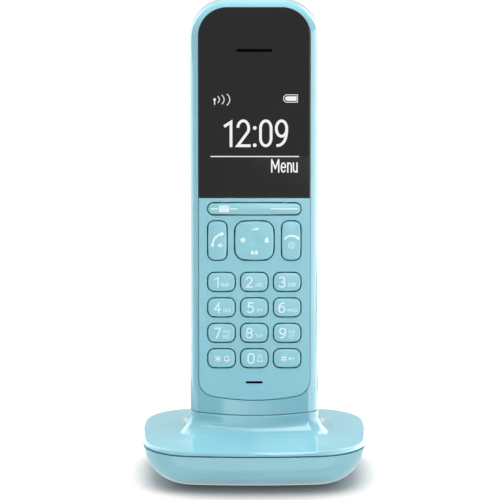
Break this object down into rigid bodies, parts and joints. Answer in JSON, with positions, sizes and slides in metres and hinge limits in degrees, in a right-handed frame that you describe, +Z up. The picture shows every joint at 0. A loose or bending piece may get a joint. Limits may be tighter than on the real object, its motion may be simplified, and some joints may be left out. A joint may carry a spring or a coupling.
{
  "type": "cordless telephone handset with charging cradle",
  "caption": "Light-blue cordless telephone: slim upright handset with dark display window, raised keypad and navigation key, leaning slightly in a rounded charging cradle with flared collar.",
  "frame": {"origin": "middle of the cradle's plan, at the underside of the rubber feet", "axes": "+Z up, -Y towards the keypad side (the front), +X to the right as seen from the front"},
  "size_m": [0.0824, 0.071, 0.176],
  "materials": {
    "blue_gloss": "gloss",
    "blue_satin": "satin",
    "black_gloss": "gloss",
    "black_plastic": "matte",
    "dark_rubber": "matte",
    "steel": "zinc plated",
    "contact_metal": "plated",
    "board": "solder mask",
    "silicone": "matte",
    "film": "satin",
    "display": "gloss",
    "cell_can": "printed sleeve"
  },
  "bodies": {
    "cradle": {"cradle_top_cover": "blue_gloss", "cradle_lower_shell": "blue_gloss", "rubber_feet": "dark_rubber", "cradle_screws": "steel", "ballast_plate": "steel", "cradle_board": "board", "power_socket": "black_plastic", "socket_pins": "contact_metal"},
    "handset": {"front_frame": "blue_gloss", "rear_shell": "blue_gloss", "display_window": "black_gloss", "keypad_plate": "blue_satin", "display_module": "display", "display_gasket": "dark_rubber", "earpiece_capsule": "black_plastic", "earpiece_gasket": "dark_rubber", "main_board": "board", "keymat": "silicone", "dome_sheet": "film", "microphone": "steel", "microphone_boot": "dark_rubber", "ringer_speaker": "black_plastic", "radio_shield": "steel", "antenna": "contact_metal", "battery_cells": "cell_can", "battery_contacts": "contact_metal", "charge_pads": "contact_metal", "handset_screws": "steel"},
    "key_1": {"key_1": "blue_satin"},
    "key_2": {"key_2": "blue_satin"},
    "key_3": {"key_3": "blue_satin"},
    "key_4": {"key_4": "blue_satin"},
    "key_5": {"key_5": "blue_satin"},
    "key_6": {"key_6": "blue_satin"},
    "key_7": {"key_7": "blue_satin"},
    "key_8": {"key_8": "blue_satin"},
    "key_9": {"key_9": "blue_satin"},
    "key_star": {"key_star": "blue_satin"},
    "key_0": {"key_0": "blue_satin"},
    "key_hash": {"key_hash": "blue_satin"},
    "call_key": {"call_key": "blue_satin"},
    "end_key": {"end_key": "blue_satin"},
    "softkey_rocker": {"softkey_rocker": "blue_satin"},
    "nav_key": {"nav_key": "blue_satin"},
    "nav_pivot": {"nav_pivot": "black_plastic"},
    "battery_cover": {"battery_cover": "blue_gloss"},
    "contact_spring_left": {"contact_spring_left": "contact_metal"},
    "contact_spring_right": {"contact_spring_right": "contact_metal"}
  },
  "joints": [
    {"name": "handset_lift", "type": "slide", "parent": "cradle", "child": "handset", "axis": [0, 0.0698, 0.9976], "range_m": [0, 0.05]},
    {"name": "battery_cover_release", "type": "slide", "parent": "handset", "child": "battery_cover", "axis": [0, 0.9976, -0.0698], "range_m": [0, 0.02]},
    {"name": "key_1_press", "type": "slide", "parent": "handset", "child": "key_1", "axis": [0, 0.9976, -0.0698], "range_m": [0, 0.0005], "stiffness_N_per_m": 1500},
    {"name": "key_2_press", "type": "slide", "parent": "handset", "child": "key_2", "axis": [0, 0.9976, -0.0698], "range_m": [0, 0.0005], "stiffness_N_per_m": 1500},
    {"name": "key_3_press", "type": "slide", "parent": "handset", "child": "key_3", "axis": [0, 0.9976, -0.0698], "range_m": [0, 0.0005], "stiffness_N_per_m": 1500},
    {"name": "key_4_press", "type": "slide", "parent": "handset", "child": "key_4", "axis": [0, 0.9976, -0.0698], "range_m": [0, 0.0005], "stiffness_N_per_m": 1500},
    {"name": "key_5_press", "type": "slide", "parent": "handset", "child": "key_5", "axis": [0, 0.9976, -0.0698], "range_m": [0, 0.0005], "stiffness_N_per_m": 1500},
    {"name": "key_6_press", "type": "slide", "parent": "handset", "child": "key_6", "axis": [0, 0.9976, -0.0698], "range_m": [0, 0.0005], "stiffness_N_per_m": 1500},
    {"name": "key_7_press", "type": "slide", "parent": "handset", "child": "key_7", "axis": [0, 0.9976, -0.0698], "range_m": [0, 0.0005], "stiffness_N_per_m": 1500},
    {"name": "key_8_press", "type": "slide", "parent": "handset", "child": "key_8", "axis": [0, 0.9976, -0.0698], "range_m": [0, 0.0005], "stiffness_N_per_m": 1500},
    {"name": "key_9_press", "type": "slide", "parent": "handset", "child": "key_9", "axis": [0, 0.9976, -0.0698], "range_m": [0, 0.0005], "stiffness_N_per_m": 1500},
    {"name": "key_star_press", "type": "slide", "parent": "handset", "child": "key_star", "axis": [0, 0.9976, -0.0698], "range_m": [0, 0.0005], "stiffness_N_per_m": 1500},
    {"name": "key_0_press", "type": "slide", "parent": "handset", "child": "key_0", "axis": [0, 0.9976, -0.0698], "range_m": [0, 0.0005], "stiffness_N_per_m": 1500},
    {"name": "key_hash_press", "type": "slide", "parent": "handset", "child": "key_hash", "axis": [0, 0.9976, -0.0698], "range_m": [0, 0.0005], "stiffness_N_per_m": 1500},
    {"name": "call_key_press", "type": "slide", "parent": "handset", "child": "call_key", "axis": [0, 0.9976, -0.0698], "range_m": [0, 0.0005], "stiffness_N_per_m": 1500},
    {"name": "end_key_press", "type": "slide", "parent": "handset", "child": "end_key", "axis": [0, 0.9976, -0.0698], "range_m": [0, 0.0005], "stiffness_N_per_m": 1500},
    {"name": "softkey_rock", "type": "hinge", "parent": "handset", "child": "softkey_rocker", "pos_m": [0, -0.00407, 0.10041], "axis": [0, 0.0698, 0.9976], "range_deg": [-1.5, 1.5], "stiffness_Nm_per_rad": 0.5},
    {"name": "nav_up_down", "type": "hinge", "parent": "handset", "child": "nav_pivot", "pos_m": [0, -0.00478, 0.08877], "axis": [1, 0, 0], "range_deg": [-2.5, 2.5], "stiffness_Nm_per_rad": 0.15},
    {"name": "nav_left_right", "type": "hinge", "parent": "nav_pivot", "child": "nav_key", "pos_m": [0, -0.00478, 0.08877], "axis": [0, 0.0698, 0.9976], "range_deg": [-2.5, 2.5], "stiffness_Nm_per_rad": 0.15},
    {"name": "contact_left_rise", "type": "hinge", "parent": "cradle", "child": "contact_spring_left", "pos_m": [0, 0.017, 0.0062], "axis": [-1, 0, 0], "range_deg": [0, 4]},
    {"name": "contact_right_rise", "type": "hinge", "parent": "cradle", "child": "contact_spring_right", "pos_m": [0, 0.017, 0.0062], "axis": [-1, 0, 0], "range_deg": [0, 4]}
  ],
  "couplings": [
    {"joint": "contact_left_rise", "follows": "handset_lift", "rad_per_m": 1.39},
    {"joint": "contact_right_rise", "follows": "handset_lift", "rad_per_m": 1.39}
  ]
}
